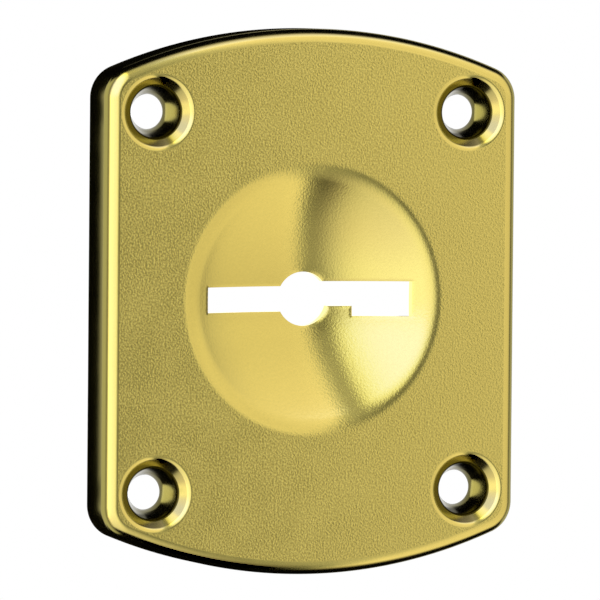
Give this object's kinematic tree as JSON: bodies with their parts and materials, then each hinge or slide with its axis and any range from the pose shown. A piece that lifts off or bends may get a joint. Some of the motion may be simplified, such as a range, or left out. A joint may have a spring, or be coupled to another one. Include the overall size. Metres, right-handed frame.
{
  "type": "keyhole escutcheon",
  "caption": "Pressed brass keyhole plate with arched ends, a turned-down edge, countersunk screw seats and a round dish pierced by a stepped double keyhole.",
  "frame": {"origin": "middle of the back rim's plane, under the centre of the plate", "axes": "+Z out of the front, +Y towards the top arch, +X across the plate's width; the plate lies on its back rim"},
  "size_m": [0.05, 0.0624, 0.0062],
  "materials": {
    "brass": "satin front with polished bends and screw seats"
  },
  "bodies": {
    "root": {"escutcheon_plate": "brass"}
  },
  "joints": []
}
